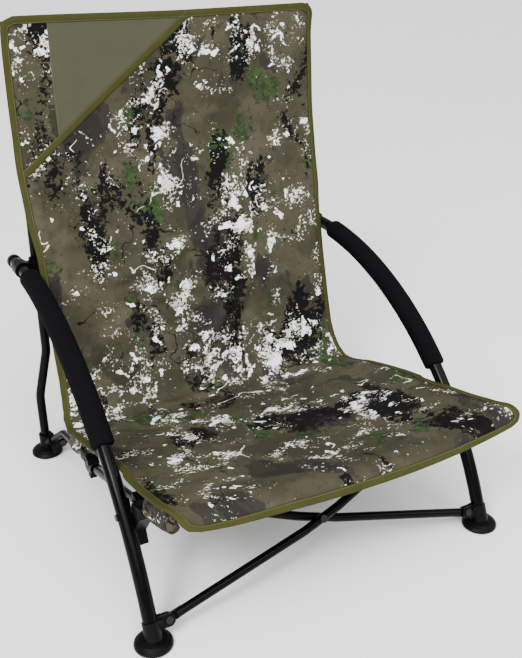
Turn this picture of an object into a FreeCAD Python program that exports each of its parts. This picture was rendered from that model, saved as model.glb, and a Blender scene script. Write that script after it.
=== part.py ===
"""Low folding sling chair for hunting blinds: two rigid side frames, crossed braces and a fabric sling.

Millimetres, +Z up, the sitter faces -Y, left is -X. The chair is shown open.
The origin is on the ground at the middle of the chair.
"""
import math
import os

import FreeCAD, Part

V = FreeCAD.Vector
X_AXIS = V(1, 0, 0)
Z_AXIS = V(0, 0, 1)

# Arm and front leg: one tube, bent in a long arc from the front foot to the arm's end
LEG_X = 267.0
LEG_RADIUS = 10.0
LEG_WALL = 1.2
LEG_FOOT_Y = -256.2
LEG_FOOT_Z = 15.0
LEG_START_DEG = 65.86
LEG_END_DEG = -5.88
LEG_STRAIGHT = 28.15
LEG_BEND = 512.0
LEG_TAIL = 37.78
LEG_SOCKET_DEPTH = 6.0

# Rear post: from the rear foot to the top corner of the back, with a jog inwards
POST_RADIUS = 7.5
POST_WALL = 1.2
POST_CAP_WALL = 0.9
POST_CAP_SKIRT = 10.0
POST_CAP_TOP = 2.0
POST_BEND = 70.0
POST_POINTS = [(265.0, 256.4, 10.0), (265.0, 257.8, 112.0), (245.0, 259.6, 192.0), (240.0, 268.0, 700.0)]

# Side rail: a bent rear tube and a straight front tube joined by a knuckle
RAIL_RADIUS = 6.35
RAIL_FOOT = V(260.0, 243.0, 28.0)
RAIL_ELBOW = V(247.0, 197.0, 66.0)
RAIL_REAR_END = V(247.0, 50.0, 103.4)
RAIL_KNEE = V(247.0, 37.0, 101.5)
RAIL_FRONT_START = V(247.0, 26.0, 99.5)
RAIL_FRONT = V(247.0, -297.0, 207.0)
RAIL_BEND = 30.0

# Rail knuckle, across and along the rail
KNEE_RADIUS = 12.0
KNEE_X = (-9.5, 8.0)
KNEE_SOCKET_RADIUS = 9.0
KNEE_SOCKET_LENGTH = 14.0
KNEE_SOCKET_ROOT = 8.0
KNEE_SOCKET_OPEN = 1.0
KNEE_TAIL = (V(-5.0, -6.0, -24.0), V(5.0, 5.0, -8.0))
KNEE_RIVET_RADIUS = 5.0
KNEE_RIVET_HEAD = 1.7

# Crossed braces: foot pivots, crossing and upper pivots, seen along the brace plane's normal
BRACE_RADIUS = 6.35
BRACE_BEND = 60.0
BRACE_OFFSET = 6.75
BRACE_FLAT = 30.0
BRACE_MEAN_DEG = 18.1
BRACE_FOOT_X = 243.0
BRACE_CROSS_UP = 63.8
BRACE_TOP_X = 222.0
BRACE_TOP_UP = 151.6
FRONT_PIVOT_YZ = (-250.0, 28.0)
FRONT_PLANE_DEG = 64.6
REAR_PIVOT_YZ = (236.0, 28.0)
REAR_PLANE_DEG = 90.0

# Pivot hardware
PIN_RADIUS = 3.0
PIN_HALF = 7.6
PIN_HEAD_RADIUS = 5.0
PIN_HEAD = 1.8
RUNNING_GAP = 0.06
TONGUE_THICK = 5.0
TONGUE_RADIUS = 7.0
TONGUE_LENGTH = 22.0
TUBE_START = 13.0
EAR_GAP = 3.0
EAR_THICK = 3.4
EAR_RADIUS = 8.5
CROSS_RIVET_RADIUS = 2.5
CROSS_RIVET_HALF = 14.4
CROSS_RIVET_HEAD_RADIUS = 5.5
CROSS_RIVET_HEAD = 1.0
HUB_REACH = 12.5
HOOK_Y = -174.0
HOOK_HALF = 8.0
HOOK_GAP = 0.6
HOOK_BELOW = 5.0
HOOK_ABOVE = 11.0
HOOK_OUTER = 5.0
CUT_SPAN = 30.0

# Feet
DISC_PROFILE = [(0.0, 0.0), (23.5, 0.0), (26.0, 2.0), (26.0, 5.0), (24.0, 8.0), (19.0, 10.8),
                (12.0, 12.5), (0.0, 12.5)]
FRONT_SOCKET_RADIUS = 11.6
FRONT_SOCKET_LENGTH = 26.0
REAR_SOCKET_RADIUS = 11.0
REAR_SOCKET_TOP = 38.0
RAIL_BOSS_RADIUS = 9.0
RAIL_BOSS_LENGTH = 12.0
REAR_LUG_REACH = 14.0
FOOT_ARM_X = (252.0, 262.0)
FOOT_ARM_HALF = 6.4
FOOT_ARM_Z = (9.0, 36.5)
FIT_GAP = 0.04
LUG_INSET = 4.0
EAR_BLOCK_GAP = 0.6

# Arm fittings
KNUCKLE_Y = 259.0
KNUCKLE_LEG_RADIUS = 13.4
KNUCKLE_LEG_HALF = 12.0
KNUCKLE_POST_RADIUS = 11.0
KNUCKLE_POST_HALF = 14.0
KNUCKLE_BRIDGE_HALF = 9.0
GRIP_RADIUS = 16.0
GRIP_LEFT_DEG = (40.6, 1.2)
GRIP_RIGHT_DEG = (41.8, 3.6)
GRIP_ROUND = 3.0
END_CAP_RADIUS = 11.4
END_CAP_LENGTH = 13.0
END_CAP_OVER = 9.0
END_CAP_ROUND = 2.6
END_CAP_GROOVE = (3.0, 4.4)
END_CAP_GROOVE_DEPTH = 0.8

# Leg bracket
BRACKET_COLLAR_RADIUS = 11.6
BRACKET_COLLAR_Z = (136.0, 168.0)
BRACKET_COLLAR_X = (250.0, 264.0)
BRACKET_X = (240.4, 259.0)
BRACKET_OUTLINE = [(-184.0, 173.5), (-215.0, 184.0), (-213.0, 166.0), (-181.0, 124.0), (-188.0, 107.0),
                   (-172.0, 105.0), (-163.0, 128.0), (-162.0, 146.0), (-184.0, 157.0)]
BRACKET_EYE_Y = (-190.0, -206.0)
BRACKET_EYE_WALL = 2.6
BRACKET_RAIL_SPAN = (-120.0, -240.0)
BRACKET_RIVET_RADIUS = 4.6
BRACKET_RIVET_HEAD = (0.3, 2.2)

# Sling: side profile (y, z) of the back and the seat, and their outlines
SLING_THICK = 2.4
BACK_PROFILE = [(255.6, 712.0), (254.2, 640.0), (250.0, 557.0), (242.5, 500.0), (227.0, 440.0),
                (206.5, 370.0), (190.0, 300.0), (173.5, 235.0), (156.5, 178.0), (147.5, 158.0),
                (138.5, 143.0), (127.0, 132.5)]
SEAT_PROFILE = [(122.0, 130.0), (103.0, 130.5), (80.0, 137.5), (60.0, 145.0), (27.0, 154.5),
                (0.0, 162.0), (-17.0, 166.0), (-60.0, 178.0), (-100.0, 188.0), (-118.0, 193.0),
                (-150.0, 200.0), (-172.0, 204.5), (-210.0, 213.0), (-245.0, 223.0), (-275.0, 231.5),
                (-292.0, 234.5), (-308.0, 228.5), (-316.5, 214.0)]
BACK_HALF_OUTLINE = [(258.0, 120.0), (254.0, 146.0), (251.0, 180.0), (250.5, 340.0), (256.0, 440.0),
                     (257.5, 500.0), (256.0, 560.0), (254.0, 640.0), (254.0, 700.0), (241.0, 713.5)]
SEAT_HALF_OUTLINE = [(259.0, 128.0), (264.0, 90.0), (265.0, 60.0), (263.0, 0.0), (264.0, -60.0),
                     (262.0, -98.0), (255.5, -128.0), (255.5, -205.0), (257.0, -240.0),
                     (254.0, -290.0), (239.0, -319.0)]
PATCH_OUTLINE = [(-189.0, 708.0), (-189.0, 539.5), (30.0, 708.0)]
PATCH_LIFT = 0.4
PATCH_THICK = 0.8

# Fabric pockets and tabs
TOP_POCKET = (V(228.5, 258.2, 636.0), V(251.5, 279.0, 711.0))
TOP_POCKET_WALL = 1.2
FRONT_POCKET_Y = (-306.0, -216.0)
FRONT_POCKET_HALF = 9.5
FRONT_POCKET_DROP = 9.5
FRONT_POCKET_RISE = 11.5
POCKET_GAP = 0.3
POCKET_OPEN = 5.0
TAB_Y = (86.0, 126.0)
TAB_HALF = 9.0
TAB_DROP = 9.0
TAB_RISE = 33.0
TAB_OPEN = 9.0


class BracePlane:
    """The plane in which one pair of braces turns: at(x, up, out) gives a point."""

    def __init__(self, pivot_yz, lean_deg):
        lean = math.radians(lean_deg)
        self.base = V(0, *pivot_yz)
        self.up = V(0, math.cos(lean), math.sin(lean))
        self.normal = V(0, -math.sin(lean), math.cos(lean))

    def at(self, x, up, out=0.0):
        return self.base + X_AXIS * x + self.up * up + self.normal * out


FRONT_PLANE = BracePlane(FRONT_PIVOT_YZ, FRONT_PLANE_DEG)
REAR_PLANE = BracePlane(REAR_PIVOT_YZ, REAR_PLANE_DEG)


def unit(vector):
    return vector * (1.0 / vector.Length)


def rod(start, end, radius):
    axis = end - start
    return Part.makeCylinder(radius, axis.Length, start, axis)


def disc_on(centre, axis, radius, low, high):
    axis = unit(axis)
    return rod(centre + axis * low, centre + axis * high, radius)


def fuse(shapes):
    return shapes[0].multiFuse(shapes[1:]).removeSplitter()


def box_between(low, high):
    size = high - low
    return Part.makeBox(size.x, size.y, size.z, low)


def oriented_bar(origin, along, normal, length, width, thick):
    """A flat bar from origin, centred on its line, with its thickness along normal."""
    bar = Part.makeBox(length, width, thick, V(0, -width / 2, -thick / 2))
    turn = FreeCAD.Rotation(unit(along), normal.cross(unit(along)), normal, "ZXY")
    bar.Placement = FreeCAD.Placement(origin, turn)
    return bar


def bent_wire(points, bend):
    """A wire through points with each corner rounded to the bend radius."""
    edges = []
    start = points[0]
    for before, corner, after in zip(points, points[1:], points[2:]):
        into = unit(corner - before)
        out = unit(after - corner)
        turn = into.getAngle(out)
        cut = bend * math.tan(turn / 2)
        inner = unit(out - into)
        centre = corner + inner * (bend / math.cos(turn / 2))
        arc_start = corner - into * cut
        arc_end = corner + out * cut
        edges.append(Part.makeLine(start, arc_start))
        edges.append(Part.Arc(arc_start, centre - inner * bend, arc_end).toShape())
        start = arc_end
    edges.append(Part.makeLine(start, points[-1]))
    return Part.Wire(edges)


def sweep(wire, radius):
    """A round bar along a wire."""
    first = wire.OrderedEdges[0]
    start = first.valueAt(first.FirstParameter)
    ring = Part.Wire(Part.makeCircle(radius, start, first.tangentAt(first.FirstParameter)))
    pipe = Part.BRepOffsetAPI.MakePipeShell(wire)
    pipe.add(ring)
    pipe.build()
    pipe.makeSolid()
    return Part.Solid(pipe.shape())


def mirrored(shape):
    return shape.mirror(V(0, 0, 0), X_AXIS)


# Arm and front leg --------------------------------------------------------------------------------

def leg_arc_point(angle_deg):
    """The tube's centre where its tangent makes this angle with the ground."""
    start = math.radians(LEG_START_DEG)
    y = LEG_FOOT_Y + LEG_STRAIGHT * math.cos(start) + LEG_BEND * math.sin(start)
    z = LEG_FOOT_Z + LEG_STRAIGHT * math.sin(start) - LEG_BEND * math.cos(start)
    angle = math.radians(angle_deg)
    return V(LEG_X, y - LEG_BEND * math.sin(angle), z + LEG_BEND * math.cos(angle))


def leg_direction(angle_deg):
    angle = math.radians(angle_deg)
    return V(0, math.cos(angle), math.sin(angle))


def leg_angle_at_height(z):
    centre_z = leg_arc_point(90.0).z
    return math.degrees(math.acos((z - centre_z) / LEG_BEND))


def leg_arc(start_deg, end_deg):
    middle = (start_deg + end_deg) / 2
    return Part.Arc(leg_arc_point(start_deg), leg_arc_point(middle), leg_arc_point(end_deg)).toShape()


def leg_foot_point():
    return V(LEG_X, LEG_FOOT_Y, LEG_FOOT_Z) - leg_direction(LEG_START_DEG) * LEG_SOCKET_DEPTH


def leg_tip():
    return leg_arc_point(LEG_END_DEG) + leg_direction(LEG_END_DEG) * LEG_TAIL


def leg_bar(radius):
    lower = Part.makeLine(leg_foot_point(), leg_arc_point(LEG_START_DEG))
    tail = Part.makeLine(leg_arc_point(LEG_END_DEG), leg_tip())
    return sweep(Part.Wire([lower, leg_arc(LEG_START_DEG, LEG_END_DEG), tail]), radius)


def arm_tube():
    return leg_bar(LEG_RADIUS).cut(leg_bar(LEG_RADIUS - LEG_WALL))


def foam_grip(front_deg, rear_deg):
    arc = Part.Wire(leg_arc(front_deg, rear_deg))
    outer = sweep(arc, GRIP_RADIUS)
    around = 2 * math.pi * GRIP_RADIUS
    ends = [edge for edge in outer.Edges if edge.Closed and abs(edge.Length - around) < 1.0]
    return outer.makeFillet(GRIP_ROUND, ends).cut(sweep(arc, LEG_RADIUS + FIT_GAP))


def arm_end_cap():
    axis = leg_direction(LEG_END_DEG)
    start = leg_tip() - axis * END_CAP_OVER
    body = rod(start, start + axis * END_CAP_LENGTH, END_CAP_RADIUS)
    rim = [edge for edge in body.Edges if edge.Closed and (edge.CenterOfMass - start).Length > END_CAP_OVER]
    near, far = END_CAP_GROOVE
    groove = rod(start + axis * near, start + axis * far, END_CAP_RADIUS + END_CAP_GROOVE_DEPTH)
    core = rod(start, start + axis * END_CAP_LENGTH, END_CAP_RADIUS - END_CAP_GROOVE_DEPTH)
    groove = groove.cut(core)
    hollow = rod(start, leg_tip() + axis * FIT_GAP, LEG_RADIUS + FIT_GAP)
    return body.makeFillet(END_CAP_ROUND, rim).cut(groove).cut(hollow)


# Rear post ----------------------------------------------------------------------------------------

def post_bar(radius):
    return sweep(bent_wire([V(*point) for point in POST_POINTS], POST_BEND), radius)


def rear_post():
    return post_bar(POST_RADIUS).cut(post_bar(POST_RADIUS - POST_WALL))


def post_point(z):
    low, high = V(*POST_POINTS[2]), V(*POST_POINTS[3])
    return low + (high - low) * ((z - low.z) / (high.z - low.z))


def post_cap():
    axis = unit(V(*POST_POINTS[3]) - V(*POST_POINTS[2]))
    top = V(*POST_POINTS[3])
    skirt = top - axis * POST_CAP_SKIRT
    cap = rod(skirt, top + axis * POST_CAP_TOP, POST_RADIUS + POST_CAP_WALL)
    return cap.cut(rod(skirt, top + axis * FIT_GAP, POST_RADIUS + FIT_GAP))


def arm_knuckle():
    """The moulded piece that holds the arm tube beside the post."""
    angle = math.degrees(math.asin((leg_arc_point(0).y - KNUCKLE_Y) / LEG_BEND))
    on_leg = leg_arc_point(angle)
    on_post = post_point(on_leg.z)
    around_leg = disc_on(on_leg, leg_direction(angle), KNUCKLE_LEG_RADIUS,
                         -KNUCKLE_LEG_HALF, KNUCKLE_LEG_HALF)
    around_post = disc_on(on_post, Z_AXIS, KNUCKLE_POST_RADIUS, -KNUCKLE_POST_HALF, KNUCKLE_POST_HALF)
    half = V(0, KNUCKLE_BRIDGE_HALF, KNUCKLE_BRIDGE_HALF)
    bridge = box_between(V(on_post.x, on_leg.y, on_leg.z) - half, on_leg + half)
    body = fuse([around_leg, around_post, bridge])
    return body.cut(leg_bar(LEG_RADIUS + FIT_GAP)).cut(post_bar(POST_RADIUS + FIT_GAP))

# Side rail ----------------------------------------------------------------------------------------

def rail_rear_wire():
    return bent_wire([RAIL_FOOT, RAIL_ELBOW, RAIL_REAR_END], RAIL_BEND)


def rail_rear_tube():
    return sweep(rail_rear_wire(), RAIL_RADIUS)


def rail_front_tube():
    return rod(RAIL_FRONT_START, RAIL_FRONT, RAIL_RADIUS)


def rail_at(y):
    """The front rail tube's centre at this depth."""
    share = (y - RAIL_FRONT_START.y) / (RAIL_FRONT.y - RAIL_FRONT_START.y)
    return RAIL_FRONT_START + (RAIL_FRONT - RAIL_FRONT_START) * share


def rear_rail_at(y):
    """The rear rail tube's centre at this depth, ahead of its bend."""
    share = (y - RAIL_REAR_END.y) / (RAIL_ELBOW.y - RAIL_REAR_END.y)
    return RAIL_REAR_END + (RAIL_ELBOW - RAIL_REAR_END) * share


def rail_knuckle():
    """A moulded joint with a round boss, a socket for each tube and a short tail below it."""
    boss = disc_on(RAIL_KNEE, X_AXIS, KNEE_RADIUS, *KNEE_X)
    tail = box_between(RAIL_KNEE + KNEE_TAIL[0], RAIL_KNEE + KNEE_TAIL[1])
    body = [boss, tail]
    holes = []
    for end, far in ((RAIL_REAR_END, RAIL_ELBOW), (RAIL_FRONT_START, RAIL_FRONT)):
        way = unit(far - end)
        body.append(rod(end - way * KNEE_SOCKET_ROOT, end + way * KNEE_SOCKET_LENGTH, KNEE_SOCKET_RADIUS))
        holes.append(rod(end - way * FIT_GAP, end + way * (KNEE_SOCKET_LENGTH + KNEE_SOCKET_OPEN),
                         RAIL_RADIUS + FIT_GAP))
    return fuse(body).cut(holes[0]).cut(holes[1])


def rail_knuckle_rivet():
    return disc_on(RAIL_KNEE, X_AXIS, KNEE_RIVET_RADIUS, KNEE_X[0] - KNEE_RIVET_HEAD, KNEE_X[0])


# Feet ---------------------------------------------------------------------------------------------

def foot_disc(x, y):
    points = [V(radius, 0, z) for radius, z in DISC_PROFILE]
    face = Part.Face(Part.makePolygon(points + points[:1]))
    disc = face.revolve(V(0, 0, 0), Z_AXIS, 360)
    disc.translate(V(x, y, 0))
    return disc


def ears(plane, x, up, reach):
    """Two rounded ears either side of a pivot, joined by a block on the outer side."""
    pieces = []
    for low in (EAR_GAP, -EAR_GAP - EAR_THICK):
        middle = low + EAR_THICK / 2
        pieces.append(disc_on(plane.at(x, up), plane.normal, EAR_RADIUS, low, low + EAR_THICK))
        pieces.append(oriented_bar(plane.at(x, up, middle), X_AXIS, plane.normal,
                                   reach, 2 * EAR_RADIUS, EAR_THICK))
    start = EAR_RADIUS + EAR_BLOCK_GAP
    thick = 2 * (EAR_GAP + EAR_THICK)
    block = oriented_bar(plane.at(x + start, up), X_AXIS, plane.normal,
                         reach - start, 2 * EAR_RADIUS, thick)
    return pieces + [block]


def pivot_hole(plane, x, up):
    reach = 2 * PIN_HALF
    return disc_on(plane.at(x, up), plane.normal, PIN_RADIUS + RUNNING_GAP, -reach, reach)


def pivot_pin(plane, x, up):
    shaft = disc_on(plane.at(x, up), plane.normal, PIN_RADIUS, -PIN_HALF, PIN_HALF)
    edge = EAR_GAP + EAR_THICK
    heads = [disc_on(plane.at(x, up), plane.normal, PIN_HEAD_RADIUS, low, low + PIN_HEAD)
             for low in (edge, -edge - PIN_HEAD)]
    return fuse([shaft] + heads)


def foot_arm(rear, front):
    """The block that carries the ears on the disc."""
    return box_between(V(FOOT_ARM_X[0], rear, FOOT_ARM_Z[0]), V(FOOT_ARM_X[1], front, FOOT_ARM_Z[1]))


def front_foot():
    start = leg_foot_point()
    socket = rod(start, start + leg_direction(LEG_START_DEG) * FRONT_SOCKET_LENGTH, FRONT_SOCKET_RADIUS)
    lugs = ears(FRONT_PLANE, BRACE_FOOT_X, 0.0, LEG_X - BRACE_FOOT_X - LUG_INSET)
    arm = foot_arm(FRONT_PIVOT_YZ[0] - FOOT_ARM_HALF, FRONT_PIVOT_YZ[0] + FOOT_ARM_HALF)
    body = fuse([foot_disc(LEG_X, LEG_FOOT_Y), socket, arm] + lugs)
    body = body.cut(leg_bar(LEG_RADIUS + FIT_GAP)).cut(pivot_hole(FRONT_PLANE, BRACE_FOOT_X, 0.0))
    return body.common(box_between(V(200, -320, 0), V(320, -180, 80)))


def rear_foot():
    """A disc with a socket for the post, ears for the brace and a boss for the rail's end."""
    centre = V(*POST_POINTS[0])
    rim = DISC_PROFILE[3][1]
    socket = Part.makeCylinder(REAR_SOCKET_RADIUS, REAR_SOCKET_TOP - rim, V(centre.x, centre.y, rim))
    way = unit(RAIL_ELBOW - RAIL_FOOT)
    boss = rod(RAIL_FOOT - way * RAIL_RADIUS, RAIL_FOOT + way * RAIL_BOSS_LENGTH, RAIL_BOSS_RADIUS)
    lugs = ears(REAR_PLANE, BRACE_FOOT_X, 0.0, REAR_LUG_REACH)
    arm = foot_arm(REAR_PIVOT_YZ[0] - FOOT_ARM_HALF, centre.y)
    body = fuse([foot_disc(centre.x, centre.y), socket, boss, arm] + lugs)
    rail = rod(RAIL_FOOT, RAIL_ELBOW, RAIL_RADIUS + FIT_GAP)
    body = body.cut(post_bar(POST_RADIUS + FIT_GAP)).cut(rail)
    return body.cut(pivot_hole(REAR_PLANE, BRACE_FOOT_X, 0.0))


# Crossed braces -----------------------------------------------------------------------------------

def brace_stations(side, offset):
    """(x, up, out) of the foot pivot, both ends of the flat crossing, and the upper pivot."""
    lean = math.radians(BRACE_MEAN_DEG)
    run, rise = BRACE_FLAT * math.cos(lean), BRACE_FLAT * math.sin(lean)
    return [(-side * BRACE_FOOT_X, 0.0, 0.0),
            (-side * run, BRACE_CROSS_UP - rise, offset),
            (side * run, BRACE_CROSS_UP + rise, offset),
            (side * BRACE_TOP_X, BRACE_TOP_UP, 0.0)]


def tongue(plane, pivot, towards):
    """The flattened end of a tube, with its rounded eye."""
    along = towards - pivot
    along = along - plane.normal * along.dot(plane.normal)
    eye = disc_on(pivot, plane.normal, TONGUE_RADIUS, -TONGUE_THICK / 2, TONGUE_THICK / 2)
    bar = oriented_bar(pivot, along, plane.normal, TONGUE_LENGTH, 2 * TONGUE_RADIUS - 1.6, TONGUE_THICK)
    return [eye, bar]


def cross_rivet_hole(plane):
    return disc_on(plane.at(0, BRACE_CROSS_UP), plane.normal, CROSS_RIVET_RADIUS + RUNNING_GAP, -30.0, 30.0)


def brace(plane, side):
    """Side 1 rises from the left foot to the right, outside; side -1 is its mirror image, inside."""
    offset = BRACE_OFFSET * side
    points = [plane.at(*station) for station in brace_stations(side, offset)]
    pivots = (points[0], points[-1])
    points[0] = points[0] + unit(points[1] - points[0]) * TUBE_START
    points[-1] = points[-1] + unit(points[-2] - points[-1]) * TUBE_START
    tube = sweep(bent_wire(points, BRACE_BEND), BRACE_RADIUS)
    shape = fuse([tube] + tongue(plane, pivots[0], points[0]) + tongue(plane, pivots[1], points[-1]))
    shape = shape.cut(pivot_hole(plane, -side * BRACE_FOOT_X, 0.0))
    shape = shape.cut(pivot_hole(plane, side * BRACE_TOP_X, BRACE_TOP_UP))
    return shape.cut(cross_rivet_hole(plane))


def cross_rivet(plane):
    centre = plane.at(0, BRACE_CROSS_UP)
    shaft = disc_on(centre, plane.normal, CROSS_RIVET_RADIUS, -CROSS_RIVET_HALF, CROSS_RIVET_HALF)
    heads = [disc_on(centre, plane.normal, CROSS_RIVET_HEAD_RADIUS, low, low + CROSS_RIVET_HEAD)
             for low in (CROSS_RIVET_HALF - CROSS_RIVET_HEAD, -CROSS_RIVET_HALF)]
    return fuse([shaft] + heads)


def hub_body(plane):
    return fuse(ears(plane, BRACE_TOP_X, BRACE_TOP_UP, HUB_REACH))


def front_hub():
    """The brace's upper end fitting, with a hook that rests over the side rail."""
    seat = rail_at(HOOK_Y)
    low = V(BRACE_TOP_X + EAR_RADIUS, seat.y - HOOK_HALF, seat.z - HOOK_BELOW)
    plate = box_between(low, V(RAIL_KNEE.x + HOOK_OUTER, seat.y + HOOK_HALF, seat.z + HOOK_ABOVE))
    channel = rod(rail_at(HOOK_Y + CUT_SPAN), rail_at(HOOK_Y - CUT_SPAN), RAIL_RADIUS + HOOK_GAP)
    mouth = V(RAIL_KNEE.x - RAIL_RADIUS - HOOK_GAP, seat.y - CUT_SPAN, seat.z - CUT_SPAN)
    below = box_between(mouth, V(LEG_X + CUT_SPAN, seat.y + CUT_SPAN, seat.z))
    body = fuse([hub_body(FRONT_PLANE), plate])
    return body.cut(channel).cut(below).cut(pivot_hole(FRONT_PLANE, BRACE_TOP_X, BRACE_TOP_UP))


def rear_hub():
    return hub_body(REAR_PLANE).cut(pivot_hole(REAR_PLANE, BRACE_TOP_X, BRACE_TOP_UP))


# Leg bracket --------------------------------------------------------------------------------------

def leg_bracket():
    """The moulded bracket that carries the rail's front half on the leg."""
    ends = [leg_arc_point(leg_angle_at_height(z)) for z in BRACKET_COLLAR_Z]
    collar = rod(ends[0], ends[1], BRACKET_COLLAR_RADIUS)
    near, far = BRACKET_COLLAR_X
    collar = collar.common(box_between(V(near, -LEG_BEND, 0), V(far, 0, LEG_BEND)))
    inner, outer = BRACKET_X
    cheek = prism([V(inner, y, z) for y, z in BRACKET_OUTLINE], X_AXIS * (outer - inner))
    eye = rod(rail_at(BRACKET_EYE_Y[0]), rail_at(BRACKET_EYE_Y[1]), RAIL_RADIUS + BRACKET_EYE_WALL)
    body = fuse([collar, cheek, eye]).cut(leg_bar(LEG_RADIUS + FIT_GAP))
    rear, front = BRACKET_RAIL_SPAN
    return body.cut(rod(rail_at(rear), rail_at(front), RAIL_RADIUS + FIT_GAP))


def bracket_rivet():
    centre = leg_arc_point(leg_angle_at_height(sum(BRACKET_COLLAR_Z) / 2))
    low, high = BRACKET_RIVET_HEAD
    return disc_on(centre, X_AXIS, BRACKET_RIVET_RADIUS, LEG_RADIUS + low, LEG_RADIUS + high)


# Sling --------------------------------------------------------------------------------------------

def offset_profile(profile, distance):
    """The profile moved sideways; positive is to the left of its direction."""
    moved = []
    for index, (y, z) in enumerate(profile):
        before = profile[max(index - 1, 0)]
        after = profile[min(index + 1, len(profile) - 1)]
        run, rise = after[0] - before[0], after[1] - before[1]
        length = math.hypot(run, rise)
        moved.append((y - rise / length * distance, z + run / length * distance))
    return moved


def prism(points, along):
    return Part.Face(Part.makePolygon(points + points[:1])).extrude(along)


def sheet(profile, left, right):
    """A sheet across the chair between two offsets of the profile."""
    outline = offset_profile(profile, left) + offset_profile(profile, right)[::-1]
    return prism([V(-300.0, y, z) for y, z in outline], X_AXIS * 600.0)


def both_sides(half_outline):
    """A closed outline from its right half, which runs from one end of the middle line to the other."""
    return half_outline + [(-x, across) for x, across in half_outline[::-1]]


def sling_back():
    outline = prism([V(x, -400.0, z) for x, z in both_sides(BACK_HALF_OUTLINE)], V(0, 800.0, 0))
    return sheet(BACK_PROFILE, -SLING_THICK / 2, SLING_THICK / 2).common(outline)


def sling_seat():
    outline = prism([V(x, y, 0.0) for x, y in both_sides(SEAT_HALF_OUTLINE)], V(0, 0, 400.0))
    return sheet(SEAT_PROFILE, -SLING_THICK / 2, SLING_THICK / 2).common(outline)


def corner_patch():
    """The plain cloth triangle in the back's upper left corner."""
    outline = prism([V(x, -400.0, z) for x, z in PATCH_OUTLINE], V(0, 800.0, 0))
    front = -SLING_THICK / 2 - PATCH_LIFT
    return sheet(BACK_PROFILE, front - PATCH_THICK, front).common(outline)


def top_pocket():
    """The pocket behind the back's top corner that holds the post's end."""
    low, high = TOP_POCKET
    wall = TOP_POCKET_WALL
    hollow = box_between(low + V(wall, wall, -wall), high - V(wall, wall, wall))
    return box_between(low, high).cut(hollow)


def rail_sleeve(ends, drop, rise, half):
    """A cloth box around the rail between two points on it."""
    down, lift, side = V(0, 0, -drop), V(0, 0, rise), V(half, 0, 0)
    points = [ends[0] + down, ends[0] + lift, ends[1] + lift, ends[1] + down]
    return prism([point - side for point in points], side * 2)


def front_pocket():
    """The pocket under the seat's front corner that holds the rail's end."""
    rear, front = rail_at(FRONT_POCKET_Y[1]), rail_at(FRONT_POCKET_Y[0])
    body = rail_sleeve((rear, front), FRONT_POCKET_DROP, FRONT_POCKET_RISE, FRONT_POCKET_HALF)
    way = unit(front - rear)
    return body.cut(rod(rear - way * POCKET_OPEN, RAIL_FRONT + way, RAIL_RADIUS + POCKET_GAP))


def rail_tab():
    """The cloth tab that ties the sling's rear lower corner to the rail."""
    rear, front = rear_rail_at(TAB_Y[1]), rear_rail_at(TAB_Y[0])
    body = rail_sleeve((rear, front), TAB_DROP, TAB_RISE, TAB_HALF)
    way = unit(front - rear)
    return body.cut(rod(rear - way * TAB_OPEN, front + way * TAB_OPEN, RAIL_RADIUS + POCKET_GAP))


SIDE_PARTS = {
    "arm_tube": arm_tube,
    "arm_end_cap": arm_end_cap,
    "arm_knuckle": arm_knuckle,
    "rear_post": rear_post,
    "post_cap": post_cap,
    "front_foot": front_foot,
    "rear_foot": rear_foot,
    "front_foot_pin": lambda: pivot_pin(FRONT_PLANE, BRACE_FOOT_X, 0.0),
    "rear_foot_pin": lambda: pivot_pin(REAR_PLANE, BRACE_FOOT_X, 0.0),
    "rail_rear_tube": rail_rear_tube,
    "rail_front_tube": rail_front_tube,
    "rail_knuckle": rail_knuckle,
    "rail_knuckle_rivet": rail_knuckle_rivet,
    "leg_bracket": leg_bracket,
    "bracket_rivet": bracket_rivet,
    "front_hub": front_hub,
    "rear_hub": rear_hub,
    "front_hub_pin": lambda: pivot_pin(FRONT_PLANE, BRACE_TOP_X, BRACE_TOP_UP),
    "rear_hub_pin": lambda: pivot_pin(REAR_PLANE, BRACE_TOP_X, BRACE_TOP_UP),
    "top_pocket": top_pocket,
    "front_pocket": front_pocket,
    "rail_tab": rail_tab,
}

SINGLE_PARTS = {
    "front_brace_a": lambda: brace(FRONT_PLANE, 1),
    "front_brace_b": lambda: brace(FRONT_PLANE, -1),
    "front_cross_rivet": lambda: cross_rivet(FRONT_PLANE),
    "rear_brace_a": lambda: brace(REAR_PLANE, 1),
    "rear_brace_b": lambda: brace(REAR_PLANE, -1),
    "rear_cross_rivet": lambda: cross_rivet(REAR_PLANE),
    "sling_back": sling_back,
    "sling_seat": sling_seat,
    "corner_patch": corner_patch,
    "right_foam_grip": lambda: foam_grip(*GRIP_RIGHT_DEG),
    "left_foam_grip": lambda: mirrored(foam_grip(*GRIP_LEFT_DEG)),
}


def save(name, shape):
    shape.exportStep(os.path.join("parts", name + ".step"))


def main():
    os.makedirs("parts", exist_ok=True)
    for name, build in SIDE_PARTS.items():
        right = build()
        save("right_" + name, right)
        save("left_" + name, mirrored(right))
    for name, build in SINGLE_PARTS.items():
        save(name, build())


main()
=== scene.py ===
"""Looks of the low folding sling chair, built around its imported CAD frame.

Metres, +Z up, the sitter faces -Y and +X is to the viewer's right.
"""
import math

import bpy
from mathutils import Vector, Matrix, noise


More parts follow.
